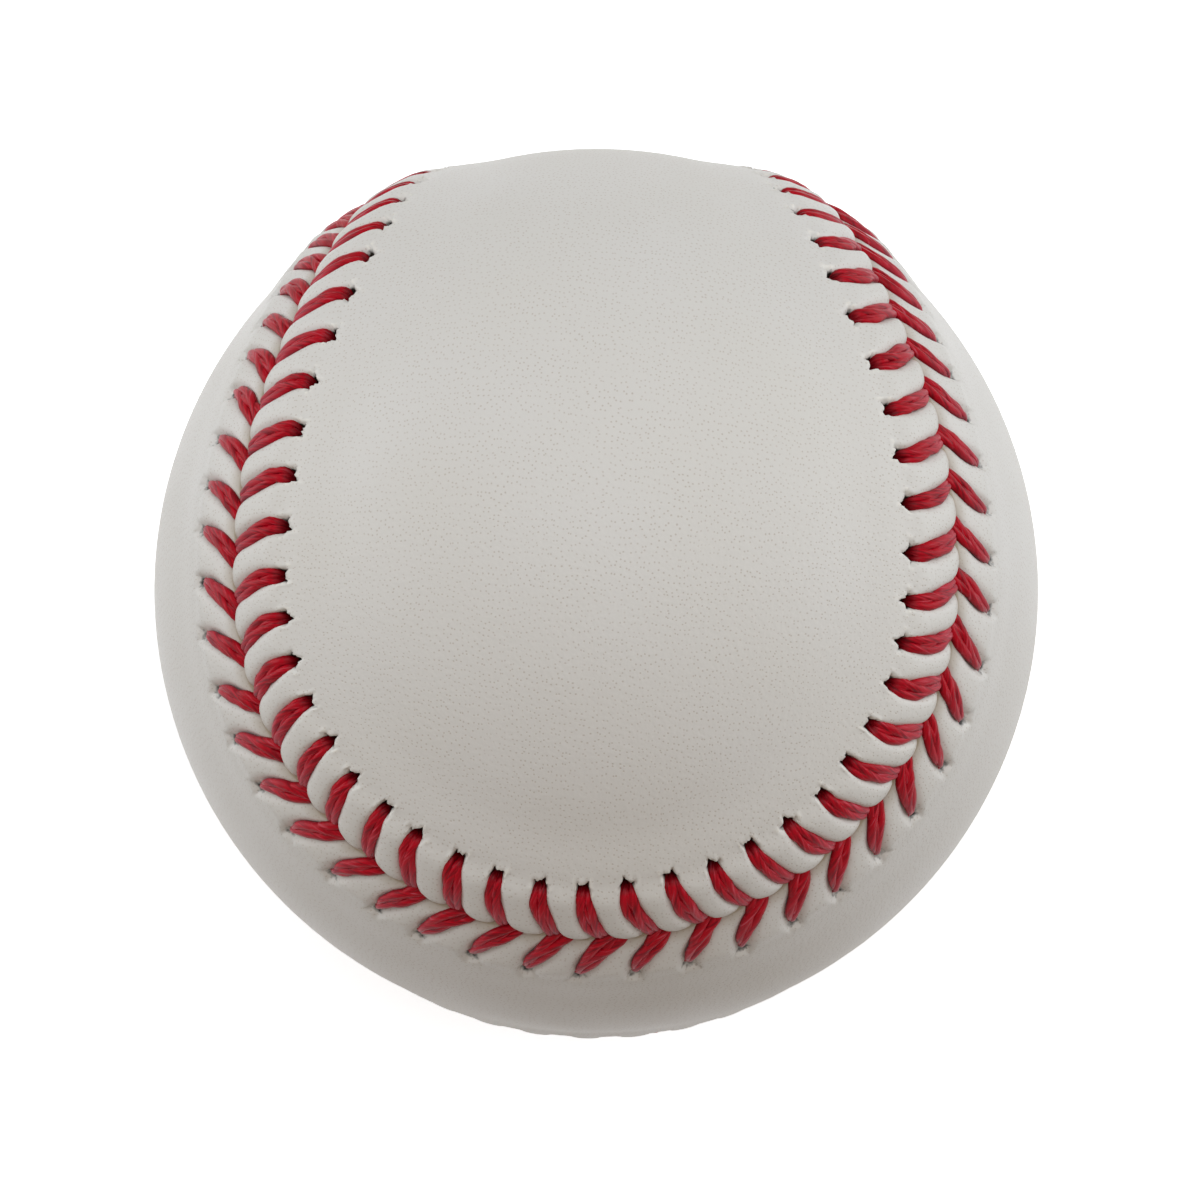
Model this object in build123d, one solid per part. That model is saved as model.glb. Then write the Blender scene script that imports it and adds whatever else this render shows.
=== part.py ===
from build123d import *
from build123d.topology import SkipClean
import os
from dataclasses import dataclass
from math import acos, atan2, cos, degrees, hypot, pi, radians, sin, sqrt, tan

# Layers of the ball, in millimetres, from the centre outwards
cork_diameter = 20.6
cup_wall = 4.0
washer_thickness = 1.0
jacket_wall = 2.4
first_winding_wall = 14.65
second_winding_wall = 1.75
third_winding_wall = 2.25
fourth_winding_wall = 0.55
leather_thickness = 1.25

# Outline of a cover panel, measured over the finished ball
waist_width = 33.6
straight_length = 17.0

# Lacing: two threads, each through every second hole of both panels
stitches_per_quarter = 27
hole_offset = 4.7
stitch_lead = 1.8
first_hole = 0.82
thread_diameter = 0.8
thread_clearance = 0.05
hole_play = 0.15
bend_inside = 0.1
thread_tail = 2.5

# Rim of the leather, which the thread under it lifts along the seam
rim_width = 9.0
hole_land = 0.4
brow_width = 2.0
brow_drop = 0.6
seam_gap = 0.1
bed_floor = 0.1
arm_rise = 0.1
punch_margin = 1.0

# Radii of the layers
cork_radius = cork_diameter / 2
cup_radius = cork_radius + cup_wall
jacket_radius = cup_radius + jacket_wall
first_radius = jacket_radius + first_winding_wall
second_radius = first_radius + second_winding_wall
third_radius = second_radius + third_winding_wall
fourth_radius = third_radius + fourth_winding_wall
ball_radius = fourth_radius + leather_thickness

centre = (0, 0, 0)


@dataclass
class Stretch:
    """One round stretch of the seam, drawn about an axis through the middle of the ball.

    Travel is right-handed about the axis, with panel A on the left, the axis side.
    An offset is measured over the leather from the seam towards panel A.
    """

    axis: Vector
    start: Vector
    sweep: float
    polar: float

    def length(self):
        return ball_radius * sin(self.polar) * self.sweep

    def outward(self, along):
        turn = along / (ball_radius * sin(self.polar))
        return self.start * cos(turn) + self.axis.cross(self.start) * sin(turn)

    def heading(self, along):
        return self.axis.cross(self.outward(along))

    def point(self, along, offset, radius):
        polar = self.polar - offset / ball_radius
        return (self.axis * cos(polar) + self.outward(along) * sin(polar)) * radius

    def spot(self, offset, radius):
        """Place in the section, whose second direction is the axis."""
        polar = self.polar - offset / ball_radius
        return Vector(radius * sin(polar), radius * cos(polar))

    def level(self, offset):
        """Direction in the section, along the leather towards the seam."""
        polar = self.polar - offset / ball_radius
        return Vector(cos(polar), -sin(polar))

    def arc(self, first, last, radius):
        return ThreePointArc(*[self.spot(place, radius) for place in (first, (first + last) / 2, last)])

    def pole(self):
        """Offset of the axis from the seam."""
        return self.polar * ball_radius

    def revolved(self, section, along, length):
        start = self.outward(along)
        turn = length / (ball_radius * sin(self.polar))
        plane = Plane(centre, x_dir=start, z_dir=start.cross(self.axis))
        return revolve(plane * section, Axis(centre, self.axis), degrees(turn))

    def next_quarter(self):
        return Stretch(-swapped(self.axis), swapped(self.start), self.sweep, pi - self.polar)


def swapped(vector):
    """Carry one quarter of the seam to the next, which trades the two panels."""
    return Vector(vector.Z, -vector.Y, -vector.X)


def seam_stretches():
    """Lay out the seam: a round end about each lobe and a straight run between two ends.

    Two equal panels close round the ball, so the waist and the straight run set the lobe.
    """
    waist_angle = waist_width / 2 / ball_radius
    half_run = straight_length / 2 / ball_radius
    lobe_angle = atan2(sqrt(2) * cos(half_run) - sin(waist_angle), cos(waist_angle))
    lean = pi / 2 - waist_angle - lobe_angle
    lobe_axis = Vector(0, -sin(lean), cos(lean))
    crossing = Vector(1, 0, 1).normalized()
    aside = lobe_axis - crossing * lobe_axis.dot(crossing)
    tilt = acos(sin(lobe_angle) / aside.length)
    square = aside.normalized().cross(crossing)
    run_axis = aside.normalized() * cos(tilt) + square * sin(tilt)
    join = (lobe_axis - run_axis * lobe_axis.dot(run_axis)).normalized()
    closed_end = Vector(0, -cos(lean), -sin(lean))
    half_turn = atan2(join.X, join.dot(closed_end))
    lobe_start = closed_end * cos(half_turn) - Vector(1, 0, 0) * sin(half_turn)
    quarter = [
        Stretch(lobe_axis, lobe_start, 2 * half_turn, lobe_angle),
        Stretch(run_axis, join, 2 * half_run, pi / 2),
    ]
    stretches = []
    for _ in range(4):
        stretches += quarter
        quarter = [stretch.next_quarter() for stretch in quarter]
    return stretches


seam = seam_stretches()
lobe_end, straight_run, waist_end = seam[:3]
seam_length = sum(stretch.length() for stretch in seam)
stitch_count = 4 * stitches_per_quarter
pitch = seam_length / stitch_count

# Heights along the seam: hidden thread lies in a bed that it presses into the last winding
thread_radius = thread_diameter / 2
bend_radius = thread_radius + bend_inside
arm_slant = atan2(stitch_lead, hole_offset)
thread_step = (thread_diameter + thread_clearance) / 2 / cos(arm_slant)
hole_radius = thread_radius + hole_play
bed_half_width = hole_offset + hole_radius
shoulder = hole_offset + hole_radius + hole_land
bed_radius = third_radius + bed_floor
hidden_run = hypot(hole_offset, pitch - stitch_lead + thread_step)
shown_run = hypot(hole_offset, stitch_lead + thread_step)
under_radius = (bed_radius + thread_clearance + thread_radius) / cos(hidden_run / 2 / ball_radius)
seam_lift = under_radius + thread_radius + thread_clearance - fourth_radius
arm_radius = (ball_radius + seam_lift + thread_radius + arm_rise) / cos(shown_run / 2 / ball_radius)


def find(along):
    """Give the stretch that holds a place along the seam, and the distance from its start."""
    along = along % seam_length
    for stretch in seam:
        if along <= stretch.length():
            return stretch, along
        along -= stretch.length()
    return seam[0], along


def seam_point(along, offset, radius):
    stretch, rest = find(along)
    return stretch.point(rest, offset, radius)


def station(number):
    """Place of a pair of holes along the seam, counted from the middle of a straight run."""
    return number * pitch + first_hole - straight_run.length() / 2


def shell(outer, inner):
    return Sphere(outer) - Sphere(inner)


def ramp(stretch, radius):
    """Rise of the leather from the level of a radius to the lifted rim."""
    handle = (rim_width - shoulder) / 2
    foot = stretch.spot(rim_width, radius)
    top = stretch.spot(shoulder, radius + seam_lift)
    leaving = foot + stretch.level(rim_width) * handle
    arriving = top - stretch.level(shoulder) * handle
    return Bezier(foot, leaving, arriving, top)


def leather_section(stretch):
    """Section of a panel: level from the axis, then up past the holes and rolled into the seam."""
    edge = seam_gap / 2
    outside = stretch.arc(stretch.pole(), rim_width, ball_radius)
    rise = ramp(stretch, ball_radius)
    rim = stretch.arc(shoulder, brow_width, ball_radius + seam_lift)
    brow_end = stretch.spot(edge, ball_radius + seam_lift - brow_drop)
    brow = TangentArc(rim @ 1, brow_end, tangent=stretch.level(brow_width))
    under_rim = stretch.arc(edge, shoulder, fourth_radius + seam_lift)
    under_rise = ramp(stretch, fourth_radius)
    inside = stretch.arc(stretch.pole(), rim_width, fourth_radius)
    lines = [Line(brow @ 1, under_rim @ 0), Line(inside @ 0, outside @ 0)]
    return make_face([outside, rise, rim, brow, under_rim, under_rise, inside] + lines)


def bed_section(stretch):
    """Section of the last winding under a panel, with half of the bed at the seam."""
    outside = stretch.arc(stretch.pole(), bed_half_width, fourth_radius)
    bed = stretch.arc(bed_half_width, 0, bed_radius)
    inside = stretch.arc(stretch.pole(), 0, third_radius)
    lines = [Line(outside @ 1, bed @ 0), Line(bed @ 1, inside @ 1), Line(inside @ 0, outside @ 0)]
    return make_face([outside, bed, inside] + lines)


def upper_half(section):
    """Revolve a section along the seam, for the half of panel A's outline above the middle."""
    lobe_half = lobe_end.length() / 2
    lobe = lobe_end.revolved(section(lobe_end), lobe_half, lobe_half)
    run = straight_run.revolved(section(straight_run), 0, straight_run.length())
    waist = waist_end.revolved(section(waist_end), 0, lobe_half)
    quarter = lobe + [cell.split(Plane.YZ, keep=Keep.TOP) for cell in (run, waist)]
    return quarter + quarter.mirror(Plane.YZ)


def hole_cutter(number):
    place = seam_point(station(number), hole_offset, 1)
    height = leather_thickness + 2 * punch_margin
    middle = (fourth_radius + ball_radius) / 2 + seam_lift
    return Plane(place * middle, z_dir=place) * Cylinder(hole_radius, height)


def notch_cutter(number):
    """Opening between the two edges where both threads go down side by side."""
    stretch, rest = find(station(number) + stitch_lead)
    place = stretch.point(rest, 0, 1)
    plane = Plane(place * fourth_radius, x_dir=stretch.heading(rest), z_dir=place)
    width = thread_diameter + 2 * thread_clearance
    notch = SlotOverall(width + 2 * thread_step, width)
    return plane * extrude(notch, leather_thickness + seam_lift + punch_margin)


def cover_panel():
    """Panel A: one half is punched, and half a turn about Y makes the other."""
    reach = stitches_per_quarter // 2 + 2
    numbers = range(-reach, stitches_per_quarter + reach)
    half = upper_half(leather_section)
    half = half - [hole_cutter(number) for number in numbers]
    half = half - [notch_cutter(number) for number in numbers]
    return half + half.rotate(Axis.Y, 180)


def fourth_winding():
    half = upper_half(bed_section)
    side = half + half.rotate(Axis.Y, 180)
    return side + other_side(side)


def other_side(shape):
    """Carry what lies under or on panel A to panel B."""
    return shape.mirror(Plane.XZ).rotate(Axis.Y, 90)


def rounded_path(corners):
    """Straight runs through the corners, joined by tangent arcs."""
    edges = []
    here = corners[0]
    for before, corner, after in zip(corners, corners[1:], corners[2:]):
        back = (before - corner).normalized()
        ahead = (after - corner).normalized()
        half_angle = radians(back.get_angle(ahead)) / 2
        reach = bend_radius / tan(half_angle)
        middle = corner + (back + ahead).normalized() * (bend_radius / sin(half_angle) - bend_radius)
        edges.append(Edge.make_line(here, corner + back * reach))
        here = corner + ahead * reach
        edges.append(Edge.make_three_point_arc(corner + back * reach, middle, here))
    edges.append(Edge.make_line(here, corners[-1]))
    return Wire(edges)


def lacing_thread(first_side):
    """One thread: up through a hole, over the rim, down the seam and under the other panel."""
    corners = []
    side = first_side
    for number in range(stitch_count):
        hole = station(number)
        notch = hole + stitch_lead + first_side * thread_step
        corners += [
            seam_point(hole, side * hole_offset, under_radius),
            seam_point(hole, side * hole_offset, arm_radius),
            seam_point(notch, 0, arm_radius),
            seam_point(notch, 0, under_radius),
        ]
        side = -side
    next_hole = seam_point(station(stitch_count), side * hole_offset, under_radius)
    corners.append(corners[-1] + (next_hole - corners[-1]).normalized() * thread_tail)
    path = rounded_path(corners)
    return sweep(Plane(path @ 0, z_dir=path % 0) * Circle(thread_radius), path)


# Cushioned cork centre: two cups with a washer between their lips
cups = shell(cup_radius, cork_radius)
washer_slab = Box(3 * cup_radius, 3 * cup_radius, washer_thickness)
lower_cup, upper_cup = (cups - washer_slab).solids().sort_by(Axis.Z)

# Faces of one sphere about different axes stay as they are
with SkipClean():
    panel_a = cover_panel()
    last_winding = fourth_winding()

nodes = {
    "cork_core": Sphere(cork_radius),
    "rubber_cup_lower": lower_cup,
    "rubber_cup_upper": upper_cup,
    "rubber_washer": cups & washer_slab,
    "rubber_jacket": shell(jacket_radius, cup_radius),
    "first_winding": shell(first_radius, jacket_radius),
    "second_winding": shell(second_radius, first_radius),
    "third_winding": shell(third_radius, second_radius),
    "fourth_winding": last_winding,
    "cover_panel_a": panel_a,
    "cover_panel_b": other_side(panel_a),
    "lacing_thread_a": lacing_thread(1),
    "lacing_thread_b": lacing_thread(-1),
}

os.makedirs("parts", exist_ok=True)
for name, shape in nodes.items():
    export_step(shape, f"parts/{name}.step")
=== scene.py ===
"""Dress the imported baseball: laced leather cover, waxed thread, wound yarn and a plain studio."""

import logging
from dataclasses import dataclass, field
from enum import Enum
from math import acos, atan2, cos, pi, radians, sin, sqrt
from typing import Any

import bpy
import numpy as np
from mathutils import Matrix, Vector
from mathutils.geometry import delaunay_2d_cdt


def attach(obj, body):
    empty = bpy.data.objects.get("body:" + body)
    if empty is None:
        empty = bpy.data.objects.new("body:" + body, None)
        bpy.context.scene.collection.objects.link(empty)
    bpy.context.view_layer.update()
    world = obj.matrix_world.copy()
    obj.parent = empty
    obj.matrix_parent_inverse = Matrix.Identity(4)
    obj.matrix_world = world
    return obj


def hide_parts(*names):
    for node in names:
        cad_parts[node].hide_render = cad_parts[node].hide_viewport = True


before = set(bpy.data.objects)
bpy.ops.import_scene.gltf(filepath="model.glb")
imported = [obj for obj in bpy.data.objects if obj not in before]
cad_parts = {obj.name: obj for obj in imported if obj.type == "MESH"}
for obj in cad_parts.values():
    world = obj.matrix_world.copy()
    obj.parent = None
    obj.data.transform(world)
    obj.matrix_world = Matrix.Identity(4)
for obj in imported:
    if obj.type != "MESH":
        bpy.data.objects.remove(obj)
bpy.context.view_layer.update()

MM = 0.001
TINY = 1e-9
QUARTERS = 4
WHITE = "#ffffff"
LOG = logging.getLogger("baseball")


class Side(Enum):
    """The two cover panels, by the sign of a distance measured from the seam."""

    A = 1
    B = -1


def per_side(on_a: Any, on_b: Any) -> Any:
    """Make a dataclass field that holds one value for each panel."""
    return field(default_factory=lambda: {Side.A: on_a, Side.B: on_b})


def linear(hex_colour: str) -> tuple[float, float, float, float]:
    """Turn an sRGB hex colour into linear light.

    Args:
        hex_colour: Six hex digits after a hash sign.

    Returns:
        Red, green, blue and alpha.
    """
    shares = [int(hex_colour[at:at + 2], 16) / 255 for at in (1, 3, 5)]
    lit = [share / 12.92 if share <= 0.04045 else ((share + 0.055) / 1.055) ** 2.4 for share in shares]
    return (*lit, 1.0)


def add(
    tree: bpy.types.NodeTree, kind: str, inputs: dict[str | int, Any] | None = None, **settings: Any,
) -> bpy.types.Node:
    """Add one node to a tree.

    Args:
        tree: The node tree.
        kind: The node's type name.
        inputs: Values or sockets for its inputs, by name or number.
        settings: The node's own properties.

    Returns:
        The new node.
    """
    node = tree.nodes.new(kind)
    for name, value in settings.items():
        setattr(node, name, value)
    for key, value in (inputs or {}).items():
        if isinstance(value, bpy.types.NodeSocket):
            tree.links.new(value, node.inputs[key])
        else:
            node.inputs[key].default_value = value
    return node


def per_mm(size: float) -> float:
    """Texture scale, in Object coordinates, of a pattern that repeats every so many millimetres."""
    return 1 / (size * MM)


def smooth(low: float, high: float, value: np.ndarray) -> np.ndarray:
    """Rise softly from 0 at one value to 1 at another."""
    share = np.clip((value - low) / (high - low), 0, 1)
    return share ** 3 * (10 + share * (6 * share - 15))


def blank_material(name: str) -> tuple[bpy.types.Material, bpy.types.NodeTree]:
    """Make an empty node material.

    Args:
        name: The material's name.

    Returns:
        The material and its tree.
    """
    material = bpy.data.materials.new(name)
    material.use_nodes = True
    material.node_tree.nodes.clear()
    return material, material.node_tree


def seen_rays(tree: bpy.types.NodeTree) -> bpy.types.NodeSocket:
    """Tell rays that show a background, straight, in gloss or through glass, from rays that light the ball.

    Args:
        tree: The tree of the floor's material or of the world.

    Returns:
        A socket that is 1 for rays that show it and 0 for the rest.
    """
    path = add(tree, "ShaderNodeLightPath").outputs
    shown = path["Is Camera Ray"]
    for kind in ("Is Glossy Ray", "Is Transmission Ray"):
        shown = add(tree, "ShaderNodeMath", {0: shown, 1: path[kind]}, operation="MAXIMUM").outputs[0]
    return shown


def put_in_scene(name: str, data: bpy.types.ID) -> bpy.types.Object:
    """Make an object at the origin and link it to the scene.

    Args:
        name: The object's name.
        data: Its mesh, lamp or camera.

    Returns:
        The object.
    """
    made = bpy.data.objects.new(name, data)
    bpy.context.scene.collection.objects.link(made)
    return made


def note(mesh: bpy.types.Mesh, label: str, values: np.ndarray) -> None:
    """Store one number or one vector for each point of a mesh.

    Args:
        mesh: The mesh.
        label: The attribute's name.
        values: One row for each point.
    """
    kind, slot = ("FLOAT_VECTOR", "vector") if values.ndim == 2 else ("FLOAT", "value")
    mesh.attributes.new(label, kind, "POINT").data.foreach_set(slot, values.ravel())


@dataclass(frozen=True)
class CoverLeather:
    """Alum-tanned white cowhide: chalky cream with rows of fine pores, faint creases and a satin gloss."""

    cream: str = "#d8d6d2"
    warm: str = "#d4d1ca"
    pore: str = "#94775a"
    # Tan for painted shade and dirt in the seam groove.
    shade_and_dirt: str = "#a4957f"
    torn: str = "#f2eee4"
    # Near black for painted shade in the stitch holes.
    hole: str = "#1c160f"
    patch_mm: float = 13.0
    crease_mm: float = 2.2
    grain_mm: float = 0.4
    row_mm: float = 0.56
    pore_mm: float = 0.36
    pore_scatter: float = 0.72
    pore_rim_mm: float = 0.09
    pore_floor_mm: float = 0.02
    pore_tint: float = 0.4
    pore_depth: float = 0.6
    bare_hide: float = 0.05
    pored_hide: float = 0.6
    sway_per_mm: float = 0.22
    sway_mm: float = 1.2
    row_lean: float = 0.12
    hole_fray: float = 0.5
    hole_rim: float = 0.55
    hole_full: float = 0.8
    grain_depth: float = 1.1
    relief_mm: float = 0.05
    relief_strength: float = 0.5
    roughness: float = 0.42
    polished: float = -0.06
    rubbed: float = 0.08
    specular: float = 0.27

    def material(self) -> bpy.types.Material:
        """Build the leather from its pores and grain, with painted shade and dirt in the folds along the seam
        and painted shade in the stitch holes.

        Returns:
            The material.
        """
        material, tree = blank_material("alum_tanned_cowhide")
        place = add(tree, "ShaderNodeTexCoord").outputs["Object"]
        patches, creases, grain = (
            add(tree, "ShaderNodeTexNoise", {
                "Vector": place, "Scale": per_mm(size), "Detail": detail,
            }).outputs["Fac"]
            for size, detail in ((self.patch_mm, 1.0), (self.crease_mm, 2.0), (self.grain_mm, 1.0))
        )
        shade_and_dirt, hole, torn = (
            add(tree, "ShaderNodeAttribute", attribute_name=label).outputs["Fac"]
            for label in ("shade_and_dirt", "hole", "torn")
        )
        # The rows of pores follow the panel laid flat, and waver as hair follicles do.
        hide = add(tree, "ShaderNodeAttribute", attribute_name="hide").outputs["Vector"]
        sway = add(tree, "ShaderNodeTexNoise", {"Vector": hide, "Scale": self.sway_per_mm, "Detail": 1.0})
        swayed = add(tree, "ShaderNodeVectorMath", {
            0: sway.outputs["Color"], 1: (self.sway_mm, self.sway_mm, 0.0), 2: hide,
        }, operation="MULTIPLY_ADD")
        turned = add(tree, "ShaderNodeMapping", {
            "Vector": swayed.outputs[0], "Rotation": (0.0, 0.0, self.row_lean), "Scale": (1.0, 1.0, 0.0),
        })
        spacing = (self.row_mm, self.pore_mm, 1.0)
        rows = add(tree, "ShaderNodeVectorMath", {0: turned.outputs[0], 1: spacing}, operation="DIVIDE")
        pores = add(tree, "ShaderNodeTexVoronoi", {
            "Vector": rows.outputs[0], "Scale": 1.0, "Randomness": self.pore_scatter,
        }, voronoi_dimensions="2D")
        apart = add(tree, "ShaderNodeVectorMath", {
            0: pores.outputs["Position"], 1: rows.outputs[0],
        }, operation="SUBTRACT")
        apart_mm = add(tree, "ShaderNodeVectorMath", {0: apart.outputs[0], 1: spacing}, operation="MULTIPLY")
        away = add(tree, "ShaderNodeVectorMath", {0: apart_mm.outputs[0]}, operation="LENGTH")
        # The holes are painted near black with frayed edges: painted shade in the pits.
        frayed = add(tree, "ShaderNodeMath", {0: grain, 1: self.hole_fray, 2: hole}, operation="MULTIPLY_ADD")
        pit, kept, hole_shade_share = (
            add(tree, "ShaderNodeMapRange", {"Value": value, "From Min": start, "From Max": full}).outputs[0]
            for value, start, full in (
                (away.outputs["Value"], self.pore_rim_mm, self.pore_floor_mm),
                (creases, self.bare_hide, self.pored_hide),
                (frayed.outputs[0], self.hole_rim, self.hole_full),
            )
        )
        speck = add(tree, "ShaderNodeMath", {0: pit, 1: kept}, operation="MULTIPLY").outputs[0]
        faint = add(tree, "ShaderNodeMath", {0: speck, 1: self.pore_tint}, operation="MULTIPLY").outputs[0]
        # The mixes lay on warm patches, pores, painted shade and dirt in the seam groove, pale torn edges and
        # painted shade in the holes.
        tint = linear(self.cream)
        for share, colour in (
            (patches, self.warm), (faint, self.pore), (shade_and_dirt, self.shade_and_dirt),
            (torn, self.torn), (hole_shade_share, self.hole),
        ):
            mixed = add(tree, "ShaderNodeMix", {0: share, 6: tint, 7: linear(colour)}, data_type="RGBA")
            tint = mixed.outputs[2]
        pebble = add(tree, "ShaderNodeMath", {
            0: grain, 1: self.grain_depth, 2: creases,
        }, operation="MULTIPLY_ADD")
        relief = add(tree, "ShaderNodeMath", {
            0: speck, 1: -self.pore_depth, 2: pebble.outputs[0],
        }, operation="MULTIPLY_ADD")
        bump = add(tree, "ShaderNodeBump", {
            "Height": relief.outputs[0], "Strength": self.relief_strength, "Distance": self.relief_mm * MM,
        })
        gloss = add(tree, "ShaderNodeMapRange", {
            "Value": patches, "To Min": self.roughness + self.polished,
            "To Max": self.roughness + self.rubbed,
        })
        shader = add(tree, "ShaderNodeBsdfPrincipled", {
            "Base Color": tint, "Roughness": gloss.outputs[0], "Normal": bump.outputs[0],
            "Specular IOR Level": self.specular,
        })
        add(tree, "ShaderNodeOutputMaterial", {"Surface": shader.outputs[0]})
        return material


@dataclass(frozen=True)
class WaxedThread:
    """Waxed cotton thread, twisted from strands: deep red with paler fibres, a soft waxy shine and a painted
    sheen, with painted shade between the strands and in the holes.

    Each ramp says where it starts, where it is full and how strong it is then.
    """

    red: str = "#ae051b"
    deep: str = "#5c010c"
    pale: str = "#d88a9c"
    # Near black for painted shade where the thread goes into a hole.
    hole_shade_colour: str = "#130505"
    # A single cotton fibre is too fine to show, so each streak is a bundle of them.
    fibre_mm: float = 0.15
    streak_mm: float = 2.2
    strand_step: float = 9.0
    wear_mm: float = 1.1
    dark_ramp: tuple[float, float, float] = (0.54, 0.32, 0.8)
    light_ramp: tuple[float, float, float] = (0.6, 0.75, 0.6)
    # Painted shade on the sides of strands that face down into the gaps between them.
    gap_shade_ramp: tuple[float, float, float] = (0.55, 0.0, 0.6)
    # Painted sheen: the thread pales towards one end of each stitch.
    sheen_ramp: tuple[float, float, float] = (0.3, 1.0, 0.17)
    # Painted shade where the thread goes down into a hole, as its daylight share falls.
    hole_shade_ramp: tuple[float, float, float] = (0.07, -0.02, 0.8)
    relief_mm: float = 0.08
    relief_strength: float = 0.5
    roughness: float = 0.32
    specular: float = 0.1

    def material(self) -> bpy.types.Material:
        """Build the thread from streaks that run along each strand, with pale flecks, a painted sheen, and
        painted shade in the gaps and in the holes.

        Returns:
            The material.
        """
        material, tree = blank_material("waxed_cotton_thread")
        strand = add(tree, "ShaderNodeAttribute", attribute_name="strand_place").outputs["Vector"]
        # Named attributes carry painted shade where a strand faces down into a gap, a painted sheen towards
        # one end of each stitch, and painted shade in the holes where daylight is low.
        rise, rubbed, daylight = (
            add(tree, "ShaderNodeAttribute", attribute_name=label).outputs["Fac"]
            for label in ("strand_rise", "painted_sheen", "daylight")
        )
        streaks = add(tree, "ShaderNodeMapping", {
            "Vector": strand, "Scale": (1 / self.fibre_mm, 1 / self.streak_mm, self.strand_step),
        })
        noise = add(tree, "ShaderNodeTexNoise", {"Vector": streaks.outputs[0], "Scale": 1.0, "Detail": 2.0})
        fibres = noise.outputs["Fac"]
        place = add(tree, "ShaderNodeTexCoord").outputs["Object"]
        patches = add(tree, "ShaderNodeTexNoise", {
            "Vector": place, "Scale": per_mm(self.wear_mm), "Detail": 1.0,
        })
        dark, light, gap, veil, sunk = (
            add(tree, "ShaderNodeMapRange", {
                "Value": value, "From Min": start, "From Max": full, "To Max": most,
            }).outputs[0]
            for value, (start, full, most) in (
                (fibres, self.dark_ramp), (fibres, self.light_ramp), (rise, self.gap_shade_ramp),
                (rubbed, self.sheen_ramp), (daylight, self.hole_shade_ramp),
            )
        )
        # Dark fibres, and painted shade in the gaps between strands.
        shade = add(tree, "ShaderNodeMath", {0: dark, 1: gap}, operation="MAXIMUM").outputs[0]
        # Pale fibre flecks, plus the painted sheen towards one end of each stitch.
        flecked = add(tree, "ShaderNodeMath", {0: light, 1: patches.outputs["Fac"]}, operation="MULTIPLY")
        pale_flecks_and_sheen = add(tree, "ShaderNodeMath", {0: flecked.outputs[0], 1: veil}, operation="ADD").outputs[0]
        # Painted shade darkens the thread where it goes into a hole.
        tint = linear(self.red)
        for share, colour in ((shade, self.deep), (pale_flecks_and_sheen, self.pale), (sunk, self.hole_shade_colour)):
            mixed = add(tree, "ShaderNodeMix", {0: share, 6: tint, 7: linear(colour)}, data_type="RGBA")
            tint = mixed.outputs[2]
        bump = add(tree, "ShaderNodeBump", {
            "Height": fibres, "Strength": self.relief_strength, "Distance": self.relief_mm * MM,
        })
        shader = add(tree, "ShaderNodeBsdfPrincipled", {
            "Base Color": tint, "Roughness": self.roughness, "Normal": bump.outputs[0],
            "Specular IOR Level": self.specular,
        })
        add(tree, "ShaderNodeOutputMaterial", {"Surface": shader.outputs[0]})
        return material


@dataclass(frozen=True)
class WoundYarn:
    """Wool or cotton yarn wound tight: rows of soft strands that cross in every direction.

    The wave texture turns 20 radians in each unit, so a row is a band of about six strands.
    """

    name: str
    yarn: str
    shade: str
    yarn_mm: float
    wave_radians: float = 20.0
    crossing: float = 14.0
    crossing_scale: float = 0.6
    fuzz_mm: float = 0.3
    relief_mm: float = 0.3
    relief_strength: float = 0.8
    roughness: float = 0.9
    sheen: float = 0.3

    def material(self) -> bpy.types.Material:
        """Build the yarn from rows that bend with a slow noise.

        Returns:
            The material.
        """
        material, tree = blank_material(self.name)
        place = add(tree, "ShaderNodeTexCoord").outputs["Object"]
        rows = add(tree, "ShaderNodeTexWave", {
            "Vector": place, "Scale": per_mm(self.yarn_mm) / self.wave_radians, "Distortion": self.crossing,
            "Detail": 2.0, "Detail Scale": self.crossing_scale,
        })
        fuzz = add(tree, "ShaderNodeTexNoise", {
            "Vector": place, "Scale": per_mm(self.fuzz_mm), "Detail": 4.0,
        })
        blend = add(tree, "ShaderNodeMath", {
            0: rows.outputs["Fac"], 1: fuzz.outputs["Fac"],
        }, operation="MULTIPLY")
        colour = add(tree, "ShaderNodeMix", {
            0: blend.outputs[0], 6: linear(self.shade), 7: linear(self.yarn),
        }, data_type="RGBA")
        bump = add(tree, "ShaderNodeBump", {
            "Height": blend.outputs[0], "Strength": self.relief_strength, "Distance": self.relief_mm * MM,
        })
        shader = add(tree, "ShaderNodeBsdfPrincipled", {
            "Base Color": colour.outputs[2], "Roughness": self.roughness, "Normal": bump.outputs[0],
            "Sheen Weight": self.sheen,
        })
        add(tree, "ShaderNodeOutputMaterial", {"Surface": shader.outputs[0]})
        return material


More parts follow.
